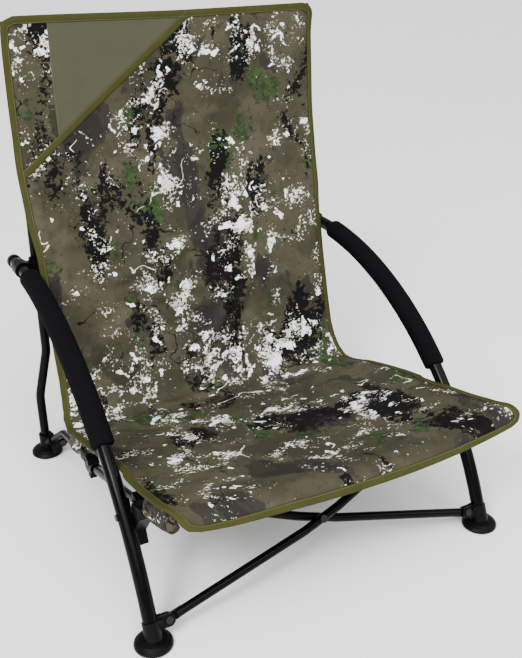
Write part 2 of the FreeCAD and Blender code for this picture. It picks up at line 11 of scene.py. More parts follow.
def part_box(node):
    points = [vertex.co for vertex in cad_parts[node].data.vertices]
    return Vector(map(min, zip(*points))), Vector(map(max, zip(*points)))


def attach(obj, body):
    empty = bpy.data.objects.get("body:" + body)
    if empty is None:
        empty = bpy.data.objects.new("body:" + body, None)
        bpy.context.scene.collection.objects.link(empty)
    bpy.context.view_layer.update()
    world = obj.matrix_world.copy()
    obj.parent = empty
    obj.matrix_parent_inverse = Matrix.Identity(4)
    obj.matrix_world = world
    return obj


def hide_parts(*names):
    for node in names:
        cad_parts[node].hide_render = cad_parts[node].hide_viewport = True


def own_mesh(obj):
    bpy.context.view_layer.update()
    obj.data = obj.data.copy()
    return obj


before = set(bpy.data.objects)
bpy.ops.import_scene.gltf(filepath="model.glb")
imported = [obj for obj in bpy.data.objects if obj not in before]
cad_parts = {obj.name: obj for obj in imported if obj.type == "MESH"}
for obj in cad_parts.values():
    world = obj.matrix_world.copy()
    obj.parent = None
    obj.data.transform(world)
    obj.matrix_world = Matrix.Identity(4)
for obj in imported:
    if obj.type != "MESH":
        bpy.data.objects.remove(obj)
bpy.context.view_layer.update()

ROOT = "left_frame"
RIGHT = "right_frame"


# Colours, linear ----------------------------------------------------------------------------------

def srgb(red, green, blue):
    """A colour from 0-255 display values."""
    out = []
    for value in (red, green, blue):
        value /= 255.0
        out.append(value / 12.92 if value <= 0.04045 else ((value + 0.055) / 1.055) ** 2.4)
    return (*out, 1.0)


# Node helpers -------------------------------------------------------------------------------------

class Nodes:
    """A material's node tree with short calls for the few node types used here."""

    def __init__(self, name):
        self.material = bpy.data.materials.new(name)
        self.material.use_nodes = True
        self.tree = self.material.node_tree
        self.tree.nodes.clear()
        self.shader = self.add("ShaderNodeBsdfPrincipled")
        output = self.add("ShaderNodeOutputMaterial")
        self.link(self.shader.outputs[0], output.inputs["Surface"])

    def add(self, kind, **values):
        node = self.tree.nodes.new(kind)
        for key, value in values.items():
            setattr(node, key, value)
        return node

    def link(self, source, target):
        self.tree.links.new(source, target)

    def put(self, socket, value):
        if isinstance(value, bpy.types.NodeSocket):
            self.link(value, socket)
        else:
            socket.default_value = value

    def set(self, **values):
        for key, value in values.items():
            self.put(self.shader.inputs[key.replace("_", " ")], value)
        return self

    def math(self, operation, first, second=0.0):
        node = self.add("ShaderNodeMath", operation=operation)
        self.put(node.inputs[0], first)
        self.put(node.inputs[1], second)
        return node.outputs[0]

    def plus(self, first, second):
        return self.math("ADD", first, second)

    def minus(self, first, second):
        return self.math("SUBTRACT", first, second)

    def times(self, first, second):
        return self.math("MULTIPLY", first, second)

    def specular(self, level):
        """The same all over the surface, so it is set on the shader's own socket."""
        self.shader.inputs["Specular IOR Level"].default_value = level

    def noise(self, vector, scale, detail=2.0, rough=0.5):
        node = self.add("ShaderNodeTexNoise")
        self.put(node.inputs["Vector"], vector)
        node.inputs["Scale"].default_value = scale
        node.inputs["Detail"].default_value = detail
        node.inputs["Roughness"].default_value = rough
        return node.outputs["Fac"]

    def noise_color(self, vector, scale, detail=2.0):
        node = self.add("ShaderNodeTexNoise")
        self.put(node.inputs["Vector"], vector)
        node.inputs["Scale"].default_value = scale
        node.inputs["Detail"].default_value = detail
        return node.outputs["Color"]

    def cells(self, vector, scale):
        node = self.add("ShaderNodeTexVoronoi")
        self.put(node.inputs["Vector"], vector)
        node.inputs["Scale"].default_value = scale
        return node.outputs["Distance"]

    def wave(self, vector, scale, direction):
        node = self.add("ShaderNodeTexWave", bands_direction=direction)
        self.put(node.inputs["Vector"], vector)
        node.inputs["Scale"].default_value = scale
        return node.outputs["Fac"]

    def step(self, value, low, high):
        """0 below low, 1 above high, smooth between."""
        node = self.add("ShaderNodeMapRange", interpolation_type="SMOOTHSTEP")
        self.put(node.inputs["Value"], value)
        node.inputs["From Min"].default_value = low
        node.inputs["From Max"].default_value = high
        return node.outputs["Result"]

    def span(self, value, low, high):
        """0-1 turned into low-high."""
        node = self.add("ShaderNodeMapRange")
        self.put(node.inputs["Value"], value)
        node.inputs["To Min"].default_value = low
        node.inputs["To Max"].default_value = high
        return node.outputs["Result"]

    def mix(self, share, first, second):
        """The first colour where share is 0 and the second where it is 1."""
        node = self.add("ShaderNodeMix", data_type="RGBA")
        self.put(node.inputs[0], share)
        self.put(node.inputs[6], first)
        self.put(node.inputs[7], second)
        return node.outputs[2]

    def shifted(self, vector, amount, strength):
        """vector moved by (amount - 0.5) * strength."""
        centre = self.add("ShaderNodeVectorMath", operation="SUBTRACT")
        self.put(centre.inputs[0], amount)
        centre.inputs[1].default_value = (0.5, 0.5, 0.5)
        scale = self.add("ShaderNodeVectorMath", operation="SCALE")
        self.link(centre.outputs[0], scale.inputs[0])
        scale.inputs["Scale"].default_value = strength
        total = self.add("ShaderNodeVectorMath", operation="ADD")
        self.put(total.inputs[0], vector)
        self.link(scale.outputs[0], total.inputs[1])
        return total.outputs[0]

    def placed(self, vector, location=(0, 0, 0), scale=(1, 1, 1), turn=0.0):
        node = self.add("ShaderNodeMapping")
        self.put(node.inputs["Vector"], vector)
        node.inputs["Location"].default_value = location
        node.inputs["Rotation"].default_value = (0, 0, turn)
        node.inputs["Scale"].default_value = scale
        return node.outputs[0]

    def here(self):
        """Position on the object, in metres."""
        return self.add("ShaderNodeTexCoord").outputs["Object"]

    def cloth(self):
        """Position on the flat cloth, in metres, kept in the UV map."""
        return self.add("ShaderNodeTexCoord").outputs["UV"]

    def bump(self, *layers):
        """Bump from (height, distance in metres, strength) layers."""
        normal = None
        for height, distance, strength in layers:
            node = self.add("ShaderNodeBump")
            self.put(node.inputs["Height"], height)
            node.inputs["Distance"].default_value = distance
            node.inputs["Strength"].default_value = strength
            if normal is not None:
                self.link(normal, node.inputs["Normal"])
            normal = node.outputs[0]
        self.link(normal, self.shader.inputs["Normal"])
        return self


def weave_height(nodes, vector, scale):
    """A plain weave: two crossed sets of threads."""
    warp = nodes.wave(vector, scale, "X")
    weft = nodes.wave(vector, scale, "Y")
    return nodes.times(warp, weft)


# Materials ----------------------------------------------------------------------------------------

def powder_coat():
    """Satin black tube paint."""
    n = Nodes("powder_coat")
    here = n.here()
    wear = n.noise(here, 38.0, 5.0, 0.6)
    fine = n.noise(here, 900.0, 2.0, 0.5)
    color = n.mix(n.step(wear, 0.3, 0.75), srgb(3, 3, 3), srgb(6, 6, 7))
    n.set(Base_Color=color, Roughness=n.span(wear, 0.20, 0.29))
    n.specular(0.075)
    return n.bump((fine, 0.00012, 0.3), (n.noise(here, 260.0, 2.0), 0.0002, 0.15)).material


def moulded_plastic():
    """Black moulded nylon with a fine grain and a few scuffs."""
    n = Nodes("moulded_plastic")
    here = n.here()
    grain = n.noise(here, 1500.0, 3.0, 0.6)
    cloud = n.noise(here, 60.0, 3.0)
    scuff = n.step(n.noise(here, 180.0, 6.0, 0.7), 0.62, 0.74)
    color = n.mix(cloud, srgb(4, 4, 5), srgb(9, 9, 10))
    color = n.mix(n.times(scuff, 0.3), color, srgb(26, 26, 27))
    n.set(Base_Color=color, Roughness=n.span(cloud, 0.34, 0.5))
    n.specular(0.08)
    return n.bump((grain, 0.00015, 0.45), (n.noise(here, 320.0, 2.0), 0.00015, 0.2)).material


def foam():
    """Matt black closed-cell foam."""
    n = Nodes("grip_foam")
    here = n.here()
    cells = n.cells(here, 1100.0)
    lumps = n.noise(here, 120.0, 4.0, 0.6)
    color = n.mix(lumps, srgb(8, 7, 9), srgb(15, 13, 16))
    color = n.mix(n.times(n.step(cells, 0.2, 0.7), 0.35), color, srgb(4, 4, 5))
    n.set(Base_Color=color, Roughness=n.span(lumps, 0.86, 0.96))
    n.specular(0.04)
    return n.bump((cells, 0.0004, 0.6), (lumps, 0.0006, 0.3)).material


def steel_pin():
    """Blackened steel pins and rivets."""
    n = Nodes("pin_steel")
    here = n.here()
    ring = n.noise(here, 700.0, 3.0)
    color = n.mix(ring, srgb(14, 14, 15), srgb(30, 30, 32))
    n.set(Base_Color=color, Metallic=0.4, Roughness=n.span(ring, 0.32, 0.48))
    return n.bump((ring, 0.0001, 0.4)).material


EARTH, LOAM, DUST, PEAT = srgb(48, 46, 35), srgb(63, 60, 46), srgb(72, 68, 55), srgb(38, 36, 29)
ASH, CHARCOAL, BARK, DARK_TWIG = srgb(43, 41, 36), srgb(36, 34, 32), srgb(8, 7, 8), srgb(13, 11, 11)
LEAF, LEAF_SHADE, LEAF_EDGE = srgb(50, 66, 37), srgb(36, 46, 28), srgb(22, 23, 15)
SPECK, BLOB, BLOB_EDGE = srgb(212, 211, 200), srgb(236, 237, 246), srgb(180, 178, 162)
PALE_TWIG = srgb(200, 197, 178)
TWIG_WIDTH = 0.005


def twig_lines(n, flat, seed):
    """Thin wandering lines, broken into separate lengths."""
    bend = n.noise(n.placed(flat, (seed, seed * 0.7, 0)), 7.0, 3.0, 0.55)
    off = n.math("ABSOLUTE", n.minus(bend, 0.5))
    line = n.minus(1.0, n.step(off, TWIG_WIDTH * 0.6, TWIG_WIDTH))
    where = n.step(n.noise(n.placed(flat, (seed * 2.3, 4.0, 0)), 10.0, 1.0), 0.6, 0.62)
    return n.times(line, where)


def ground_layer(n, warp, rag, mottle):
    """Soft brown and grey patches, the lowest layer."""
    ground = n.noise(n.placed(warp, (3.1, 0.4, 0)), 6.0, 4.0, 0.6)
    color = n.mix(n.step(ground, 0.38, 0.62), EARTH, LOAM)
    light = n.noise(n.placed(warp, (8.3, 2.4, 0)), 15.0, 4.0)
    color = n.mix(n.times(n.step(light, 0.50, 0.64), 0.7), color, DUST)
    color = n.mix(n.times(n.step(mottle, 0.52, 0.66), 0.55), color, PEAT)
    char = n.noise(n.placed(rag, (1.9, 5.2, 0), (1.0, 0.62, 1), 0.15), 13.0, 3.0)
    color = n.mix(n.step(char, 0.572, 0.580), color, ASH)
    return n.mix(n.step(char, 0.622, 0.630), color, CHARCOAL)


def leaf_layer(n, color, rag, mottle, lace):
    """Ragged green patches with darker edges."""
    leaf = n.noise(n.placed(rag, (5.1, 9.7, 0), (1.0, 0.66, 1), -0.2), 14.0, 3.0, 0.5)
    leaf = n.plus(leaf, n.times(mottle, 0.22))
    green = n.mix(n.step(mottle, 0.42, 0.60), LEAF, LEAF_SHADE)
    color = n.mix(n.step(leaf, 0.722, 0.732), color, green)
    edge = n.times(n.step(leaf, 0.715, 0.725), n.step(lace, 0.585, 0.60))
    return n.mix(edge, color, LEAF_EDGE)


def bark_layer(n, color, flat, rag, lace):
    """Swaying black streaks that run down the cloth, broken by holes, and thin dark twigs."""
    sway = n.shifted(flat, n.noise_color(n.placed(flat, (4.4, 2.8, 0)), 5.0, 3.0), 0.11)
    sway = n.shifted(sway, n.noise_color(flat, 75.0, 4.0), 0.010)
    bark = n.noise(n.placed(sway, (2.2, 3.3, 0), (1.0, 0.30, 1), 0.12), 13.0, 2.0, 0.5)
    dark = n.plus(bark, n.times(n.minus(lace, 0.5), 0.36))
    holes = n.noise(n.placed(sway, (7.2, 5.3, 0)), 70.0, 3.0, 0.55)
    dark = n.minus(dark, n.times(n.step(holes, 0.60, 0.62), 0.09))
    color = n.mix(n.step(dark, 0.567, 0.572), color, BARK)
    return n.mix(twig_lines(n, rag, 3.7), color, DARK_TWIG)


def fleck_layer(n, color, flat, warp, rag):
    """Crowds of pale specks, larger veined blobs and thin pale twigs, the top layer."""
    crowd = n.minus(n.noise(n.placed(warp, (9.4, 7.7, 0), (1.0, 0.8, 1)), 9.0, 3.0, 0.6), 0.5)
    clump = n.minus(n.noise(n.placed(rag, (3.9, 1.7, 0)), 30.0, 2.0, 0.5), 0.5)
    speck = n.noise(n.placed(flat, (6.6, 1.2, 0)), 215.0, 5.0, 0.70)
    speck = n.plus(speck, n.plus(n.times(crowd, 0.62), n.times(clump, 0.62)))
    blob = n.noise(n.placed(rag, (0.8, 6.1, 0)), 50.0, 3.0, 0.55)
    vein = n.math("ABSOLUTE", n.minus(n.noise(n.placed(rag, (2.8, 0.9, 0)), 62.0, 3.0, 0.6), 0.5))
    blob = n.plus(blob, n.times(crowd, 0.72))
    blob = n.minus(blob, n.times(n.minus(1.0, n.step(vein, 0.010, 0.024)), 0.10))
    color = n.mix(n.step(speck, 0.652, 0.662), color, SPECK)
    color = n.mix(n.step(blob, 0.652, 0.656), color, BLOB_EDGE)
    color = n.mix(n.step(blob, 0.662, 0.666), color, BLOB)
    return n.mix(twig_lines(n, rag, 8.1), color, PALE_TWIG)


def camo_color(n):
    """A generic woodland camouflage in the cloth's flat coordinates."""
    flat = n.cloth()
    warp = n.shifted(flat, n.noise_color(flat, 8.0, 3.0), 0.05)
    rag = n.shifted(warp, n.noise_color(flat, 60.0, 5.0), 0.012)
    mottle = n.noise(flat, 85.0, 5.0, 0.68)
    lace = n.noise(n.placed(flat, (2.7, 8.8, 0)), 120.0, 5.0, 0.72)
    color = ground_layer(n, warp, rag, mottle)
    color = leaf_layer(n, color, rag, mottle, lace)
    color = bark_layer(n, color, flat, rag, lace)
    return fleck_layer(n, color, flat, warp, rag)


def camo():
    """The printed cloth of the back, the seat and their pockets."""
    n = Nodes("camo_fabric")
    flat = n.cloth()
    weave = weave_height(n, flat, 190.0)
    color = camo_color(n)
    soft = n.noise(flat, 24.0, 4.0)
    # Painted shade: the cloth is darkened in the hollows between the threads, where the weave's height is
    # low.
    color = n.mix(n.times(n.minus(1.0, weave), 0.12), color, srgb(30, 27, 22))
    n.set(Base_Color=color, Roughness=n.span(soft, 0.62, 0.74))
    n.specular(0.06)
    return n.bump((weave, 0.00025, 0.35), (soft, 0.0012, 0.25)).material


def plain_cloth(name, low, high, thread, rough):
    """A one-colour woven cloth."""
    n = Nodes(name)
    flat = n.cloth()
    weave = weave_height(n, flat, thread)
    cloud = n.noise(flat, 30.0, 4.0)
    color = n.mix(cloud, low, high)
    # Painted shade: the cloth is darkened in the hollows between the threads, where the weave's height is
    # low.
    color = n.mix(n.times(n.minus(1.0, weave), 0.3), color, srgb(30, 30, 14))
    n.set(Base_Color=color, Roughness=n.span(cloud, rough, rough + 0.1))
    n.specular(0.06)
    return n.bump((weave, 0.0003, 0.5), (cloud, 0.0006, 0.2)).material


def thread_material():
    """Olive sewing thread."""
    n = Nodes("olive_thread")
    here = n.here()
    twist = n.wave(here, 900.0, "DIAGONAL")
    # Painted light and shade: the thread is lighter on the twist's raised ridges and darker in its grooves.
    n.set(Base_Color=n.mix(twist, srgb(48, 49, 18), srgb(71, 71, 34)), Roughness=n.span(twist, 0.5, 0.65))
    return n.bump((twist, 0.0001, 0.5)).material


def floor_material():
    """A plain pale studio floor."""
    n = Nodes("studio_floor")
    here = n.here()
    cloud = n.noise(here, 2.0, 3.0)
    color = n.mix(cloud, (0.86, 0.86, 0.86, 1), (0.9, 0.9, 0.9, 1))
    n.set(Base_Color=color, Roughness=n.span(cloud, 0.7, 0.8))
    return n.bump((n.noise(here, 60.0, 2.0), 0.0003, 0.1)).material


COAT = powder_coat()
PLASTIC = moulded_plastic()
FOAM = foam()
STEEL = steel_pin()
CAMO = camo()
BINDING = plain_cloth("olive_binding", srgb(50, 51, 20), srgb(64, 63, 32), 420.0, 0.6)
KHAKI = plain_cloth("khaki_cloth", srgb(66, 66, 52), srgb(75, 75, 60), 300.0, 0.66)
THREAD = thread_material()


# Mesh helpers -------------------------------------------------------------------------------------

def make_object(name, points, faces, material, uvs=None, smooth=True):
    """A new mesh object in the scene; uvs holds one place on the flat cloth for each point."""
    mesh = bpy.data.meshes.new(name)
    mesh.from_pydata([tuple(point) for point in points], [], faces)
    mesh.update()
    if uvs is not None:
        layer = mesh.uv_layers.new(name="UVMap")
        for loop in mesh.loops:
            layer.data[loop.index].uv = uvs[loop.vertex_index]
    for polygon in mesh.polygons:
        polygon.use_smooth = smooth
    mesh.materials.append(material)
    piece = bpy.data.objects.new(name, mesh)
    bpy.context.scene.collection.objects.link(piece)
    return piece


def apply_modifiers(piece):
    """Bake the piece's modifiers into its mesh."""
    bpy.context.view_layer.update()
    graph = bpy.context.evaluated_depsgraph_get()
    mesh = bpy.data.meshes.new_from_object(piece.evaluated_get(graph))
    piece.modifiers.clear()
    piece.data = mesh
    return piece


def loft(name, rings, material, caps=False, uvs=None):
    """A skin over rings of points, each ring closed on itself."""
    count = len(rings[0])
    points = [point for ring in rings for point in ring]
    faces = []
    for row in range(len(rings) - 1):
        for col in range(count):
            nxt = (col + 1) % count
            base = row * count
            faces.append((base + col, base + nxt, base + count + nxt, base + count + col))
    if caps:
        faces.append(tuple(range(count))[::-1])
        last = (len(rings) - 1) * count
        faces.append(tuple(range(last, last + count)))
    return make_object(name, points, faces, material, uvs)


SPLINE_STEPS = 24


def spline(points, count):
    """Evenly spaced points on a smooth curve through points, and the curve's length."""
    vectors = [Vector(point) for point in points]
    padded = [vectors[0] * 2 - vectors[1]] + vectors + [vectors[-1] * 2 - vectors[-2]]
    dense = []
    for a, b, c, d in zip(padded, padded[1:], padded[2:], padded[3:]):
        for step in range(SPLINE_STEPS):
            t = step / SPLINE_STEPS
            dense.append(0.5 * ((2 * b) + (c - a) * t + (2 * a - 5 * b + 4 * c - d) * t * t
                                + (3 * b - a - 3 * c + d) * t ** 3))
    dense.append(vectors[-1])
    lengths = [0.0]
    for one, two in zip(dense, dense[1:]):
        lengths.append(lengths[-1] + (two - one).length)
    out = []
    index = 0
    for step in range(count):
        wanted = lengths[-1] * step / (count - 1)
        while index < len(lengths) - 2 and lengths[index + 1] < wanted:
            index += 1
        gap = lengths[index + 1] - lengths[index]
        share = (wanted - lengths[index]) / gap if gap else 0.0
        out.append(dense[index].lerp(dense[index + 1], share))
    return out, lengths[-1]


def smoothstep(low, high, value):
    """0 below low, 1 above high, smooth between."""
    share = min(max((value - low) / (high - low), 0.0), 1.0)
    return share * share * (3 - 2 * share)


# The sling's shape --------------------------------------------------------------------------------

# The cloth's centre line seen from the side, as (y, z) from the top edge to the front edge.
PROFILE = [(0.2556, 0.712), (0.2542, 0.640), (0.250, 0.557), (0.2425, 0.500), (0.227, 0.440),
           (0.2065, 0.370), (0.190, 0.300), (0.1735, 0.235), (0.1565, 0.178), (0.1475, 0.158),
           (0.1385, 0.143), (0.125, 0.1315), (0.103, 0.1310), (0.080, 0.1375), (0.060, 0.145),
           (0.027, 0.1545), (0.0, 0.162), (-0.060, 0.178), (-0.100, 0.188), (-0.118, 0.193),
           (-0.150, 0.200), (-0.172, 0.2045), (-0.210, 0.213), (-0.245, 0.223), (-0.275, 0.2315),
           (-0.292, 0.2345), (-0.308, 0.2285), (-0.3165, 0.2140)]
ROWS = 241
PATH, LENGTH = spline([(0, y, z) for y, z in PROFILE], ROWS)
# (distance down the cloth from its top edge, half its width there)
HALF_WIDTHS = [(0.0, 0.2535), (0.15, 0.2555), (0.21, 0.257), (0.275, 0.2555), (0.35, 0.250),
               (0.54, 0.2505), (0.565, 0.252), (0.585, 0.2545), (0.60, 0.258), (0.645, 0.2635),
               (0.70, 0.264), (0.79, 0.2625), (0.825, 0.261), (0.850, 0.2547), (0.884, 0.2547),
               (0.902, 0.2585), (0.98, 0.2580), (1.03, 0.2560), (LENGTH, 0.2525)]
TOP_ROUND = 0.018
FRONT_ROUND = 0.020
ROUND_CLEAR = 0.03
WAY_ROWS = (2, 3)


def along(distance):
    """Point and upward normal of the side profile at this distance from the top edge."""
    place = min(max(distance / LENGTH, 0.0), 1.0) * (ROWS - 1)
    index = min(int(place), ROWS - 2)
    point = PATH[index].lerp(PATH[index + 1], place - index)
    before, after = PATH[max(index - WAY_ROWS[0], 0)], PATH[min(index + WAY_ROWS[1], ROWS - 1)]
    way = (after - before).normalized()
    return point, Vector((0, way.z, -way.y)).normalized()


def half_width(distance):
    """Half the cloth's width at this distance from the top edge, rounded at the corners."""
    for (start, first), (end, second) in zip(HALF_WIDTHS, HALF_WIDTHS[1:]):
        if distance <= end:
            width = first + (second - first) * smoothstep(start, end, distance)
            break
    for edge, radius in ((distance, TOP_ROUND), (LENGTH - distance, FRONT_ROUND)):
        if edge < radius:
            width -= radius - math.sqrt(max(radius ** 2 - (radius - edge) ** 2, 0.0))
    return width


def full_half_width(distance):
    """half_width without the rounding at the two ends."""
    return half_width(min(max(distance, ROUND_CLEAR), LENGTH - ROUND_CLEAR))


SEAT_START = 0.62
# (start, end, width, height) on the flat cloth; a negative height is a hollow.
CREASES = [
    ((0.066, 0.430), (0.014, 0.534), 0.008, 0.0105),
    ((0.016, 0.530), (-0.050, 0.602), 0.007, 0.0135),
    ((0.030, 0.545), (-0.020, 0.610), 0.006, 0.0050),
    ((-0.170, 0.395), (0.110, 0.350), 0.012, 0.0046), ((-0.090, 0.440), (0.030, 0.465), 0.008, 0.0048),
    ((0.085, 0.500), (-0.010, 0.615), 0.009, -0.0050), ((0.105, 0.400), (0.060, 0.520), 0.008, 0.0042),
    ((-0.200, 0.500), (-0.070, 0.440), 0.012, 0.0030), ((-0.215, 0.565), (-0.060, 0.520), 0.012, 0.0040),
    ((0.215, 0.560), (0.090, 0.535), 0.010, 0.0034), ((0.220, 0.500), (0.130, 0.400), 0.012, 0.0026),
    ((-0.220, 0.655), (-0.080, 0.690), 0.011, 0.0030), ((-0.225, 0.700), (-0.100, 0.760), 0.012, 0.0022),
    ((0.225, 0.655), (0.080, 0.690), 0.011, 0.0028), ((-0.205, 0.980), (-0.080, 0.900), 0.012, 0.0022),
    ((0.205, 0.985), (0.090, 0.900), 0.012, 0.0024), ((-0.120, 0.625), (0.130, 0.618), 0.010, 0.0034),
    ((-0.215, 0.300), (-0.130, 0.230), 0.013, 0.0022), ((0.215, 0.260), (0.120, 0.330), 0.013, 0.0022),
    ((-0.060, 0.170), (0.080, 0.240), 0.020, 0.0018),
]
CREASE_WANDER = 0.006
CREASE_SHADOW = 1.9


def crease_height(a, b):
    """Height of all the creases at a place on the flat cloth; each has a shallow dip along one side."""
    total = 0.0
    for start, end, width, height in CREASES:
        ax, ay = start
        dx, dy = end[0] - ax, end[1] - ay
        length = dx * dx + dy * dy
        share = ((a - ax) * dx + (b - ay) * dy) / length
        across = ((a - ax) * dy - (b - ay) * dx) / math.sqrt(length)
        across += CREASE_WANDER * math.sin(share * 5.0 + ax * 30)
        fade = smoothstep(-0.15, 0.25, share) * (1 - smoothstep(0.6, 1.15, share))
        dip = 0.5 * math.exp(-((across - CREASE_SHADOW * width) / width) ** 2)
        total += height * fade * (math.exp(-(across / width) ** 2) - dip)
    return total


FRONT_BOW = 0.022
FRONT_PULL = 0.013
FRONT_DROOP = 0.008
TOP_RISE = 0.005
SEAT_SAG = 0.020
BACK_SAG = 0.006
EDGE_CURL = 0.0065
SEAT_UNCURL = 0.004
SLOPE_STEP = 0.004


def front_pull(b):
    """The cloth's front end sits a little to the sitter's left of the frame."""
    return FRONT_PULL * smoothstep(LENGTH - 0.06, LENGTH - 0.012, b)


def sag(a, b):
    """How far the cloth stands off the straight line between its side edges, along the upward normal."""
    share = min(abs(a) / full_half_width(b), 1.0)
    middle = 1 - share ** 2.2
    seat = smoothstep(SEAT_START - 0.08, SEAT_START + 0.16, b)
    front = smoothstep(LENGTH - 0.20, LENGTH - 0.02, b)
    back = smoothstep(0.02, 0.30, b) * (1 - smoothstep(0.44, 0.64, b))
    depth = -SEAT_SAG * seat * middle * (1 - front) - BACK_SAG * back * middle
    broad = 0.0016 * noise.noise(Vector((a * 9, b * 9, 4.0)))
    broad += 0.0008 * noise.noise(Vector((a * 26, b * 26, 9.0)))
    edge = smoothstep(0.0, 0.02, min(b, LENGTH - b)) * (0.35 + 0.65 * (1 - share ** 6))
    inset = full_half_width(b) - abs(a)
    curl = EDGE_CURL * smoothstep(0.0, 0.05, b) - SEAT_UNCURL * seat
    curl = (1 - smoothstep(-0.002, 0.020, inset)) * curl
    return depth - curl + (broad + crease_height(a, b)) * edge


def on_sling(a, b, lift=0.0):
    """The place of the flat cloth's point (a across, b down from the top), lifted off the sitter's side."""
    point, normal = along(b)
    height = sag(a, b)
    wide = (sag(a + SLOPE_STEP, b) - sag(a - SLOPE_STEP, b)) / (2 * SLOPE_STEP)
    tilted = (normal - Vector((1, 0, 0)) * wide).normalized()
    share = min(abs(a) / half_width(b), 1.0)
    bow = FRONT_BOW * smoothstep(LENGTH - 0.20, LENGTH - 0.02, b) * (1 - share ** 2.4)
    bow += FRONT_DROOP * smoothstep(LENGTH - 0.07, LENGTH - 0.01, b) * smoothstep(0.10, 0.24, -a)
    bow -= TOP_RISE * (1 - smoothstep(0.0, 0.06, b)) * smoothstep(-0.05, 0.25, -a)
    return Vector((a + front_pull(b), point.y, point.z - bow)) + normal * height + tilted * lift


CLOTH_HALF = 0.0006
CLOTH_COLS = 97


def build_sling():
    """The one-piece back and seat cloth."""
    cols = CLOTH_COLS
    points, uvs, faces = [], [], []
    for row in range(ROWS):
        b = LENGTH * row / (ROWS - 1)
        for col in range(cols):
            a = half_width(b) * (2 * col / (cols - 1) - 1)
            points.append(on_sling(a, b))
            uvs.append((a, b))
    for row in range(ROWS - 1):
        for col in range(cols - 1):
            base = row * cols + col
            faces.append((base, base + 1, base + cols + 1, base + cols))
    sling = make_object("sling_cloth", points, faces, CAMO, uvs)
    solid = sling.modifiers.new("thickness", "SOLIDIFY")
    solid.thickness = 2 * CLOTH_HALF
    solid.offset = 0
    return apply_modifiers(sling)


BORDER_END_STEPS = 60
BORDER_SIDE_STEPS = 220
BORDER_SPACING = 0.0025


def border_path():
    """Flat points round the cloth's edge, from the top left clockwise seen from the sitter's side."""
    path = []
    ends, sides = BORDER_END_STEPS, BORDER_SIDE_STEPS
    width = half_width(0.0)
    for index in range(ends):
        path.append((-width + 2 * width * index / ends, 0.0))
    for index in range(sides):
        b = LENGTH * index / sides
        path.append((half_width(b), b))
    width = half_width(LENGTH)
    for index in range(ends):
        path.append((width - 2 * width * index / ends, LENGTH))
    for index in range(sides):
        b = LENGTH * (sides - index) / sides
        path.append((-half_width(b), b))
    clean = [path[0]]
    for point in path[1:]:
        if math.dist(point, clean[-1]) > BORDER_SPACING:
            clean.append(point)
    return clean


def path_inward(path, index, closed=True):
    """Unit inward direction of a clockwise flat path at a point."""
    count = len(path)
    before = path[(index - 1) % count] if closed else path[max(index - 1, 0)]
    after = path[(index + 1) % count] if closed else path[min(index + 1, count - 1)]
    dx, dy = after[0] - before[0], after[1] - before[1]
    size = math.hypot(dx, dy) or 1.0
    return -dy / size, dx / size


# The folded tape's section, as (distance in from the cloth's edge, lift off the cloth's middle).
TAPE = [(0.0098, 0.0010), (0.0094, 0.0016), (0.0060, 0.0019), (0.002, 0.0020), (-0.0006, 0.0016),
        (-0.0014, 0.0), (-0.0006, -0.0016), (0.002, -0.0020), (0.0060, -0.0019), (0.0094, -0.0016),
        (0.0098, -0.0010), (0.0060, -0.0009), (0.001, -0.0008), (0.001, 0.0008), (0.0060, 0.0009)]
TAPE_BASE = 0.002
SECTION_UV = 0.003


def build_binding():
    """The olive tape folded over the whole edge."""
    path = border_path()
    rings, uvs = [], []
    run = 0.0
    for index, (a, b) in enumerate(path + path[:1]):
        spot = index % len(path)
        if index:
            run += math.dist(path[spot], path[index - 1])
        ix, iy = path_inward(path, spot)
        ring = []
        for step, (inward, lift) in enumerate(TAPE):
            base = on_sling(a + ix * max(inward, 0), b + iy * max(inward, 0), lift)
            if inward < 0:
                inner = on_sling(a + ix * TAPE_BASE, b + iy * TAPE_BASE, lift)
                base = base + (base - inner) * (-inward / TAPE_BASE)
            ring.append(base)
            uvs.append((run, step * SECTION_UV))
        rings.append(ring)
    return loft("sling_binding", rings, BINDING, uvs=uvs)


STITCH_PITCH = 0.0036
# (place along one stitch, height added there) and a stitch's section, (sideways, height).
STITCH_RISE = ((0.14, -0.0001), (0.5, 0.0005), (0.86, -0.0001))
STITCH_SECTION = ((-0.0005, 0), (0, 0.00035), (0.0005, 0))


def build_stitches(name, path, inset, lift, closed=True):
    """A row of thread stitches along a flat path, raised off the tape."""
    lengths = [0.0]
    loop = path + path[:1] if closed else path
    for one, two in zip(loop, loop[1:]):
        lengths.append(lengths[-1] + math.dist(one, two))
    points, faces = [], []
    index = 0
    count = int(lengths[-1] / STITCH_PITCH)

    def place(distance):
        nonlocal index
        while index < len(lengths) - 2 and lengths[index + 1] < distance:
            index += 1
        share = (distance - lengths[index]) / max(lengths[index + 1] - lengths[index], 1e-9)
        a = loop[index][0] + (loop[index + 1][0] - loop[index][0]) * share
        b = loop[index][1] + (loop[index + 1][1] - loop[index][1]) * share
        ix, iy = path_inward(path, index % len(path), closed)
        return a + ix * inset, b + iy * inset, ix, iy

    for stitch in range(count):
        ends = []
        for part, rise in STITCH_RISE:
            a, b, ix, iy = place((stitch + part) * STITCH_PITCH)
            ends.append((a, b, ix, iy, lift + rise))
        base = len(points)
        for a, b, ix, iy, high in ends:
            for side, up in STITCH_SECTION:
                points.append(on_sling(a + ix * side, b + iy * side, high + up))
        for row in range(2):
            for col in range(2):
                spot = base + row * 3 + col
                faces.append((spot, spot + 1, spot + 4, spot + 3))
    return make_object(name, points, faces, THREAD)


def gather(piece):
    """The piece rides on the left frame, with a mesh of its own."""
    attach(piece, ROOT)
    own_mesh(piece)
    return piece


# Patch in the back's upper left corner ------------------------------------------------------------

PATCH_SEAM = -0.1895
DIAGONAL = ((0.0325, 0.0040), (-0.2505, 0.2204))
PATCH_LIFT = CLOTH_HALF + 0.0005
PATCH_CELLS = 70
PATCH_UV = (0.7, 0.3)
PATCH_MIN_REACH = 0.0004
PATCH_TURN = 0.0012


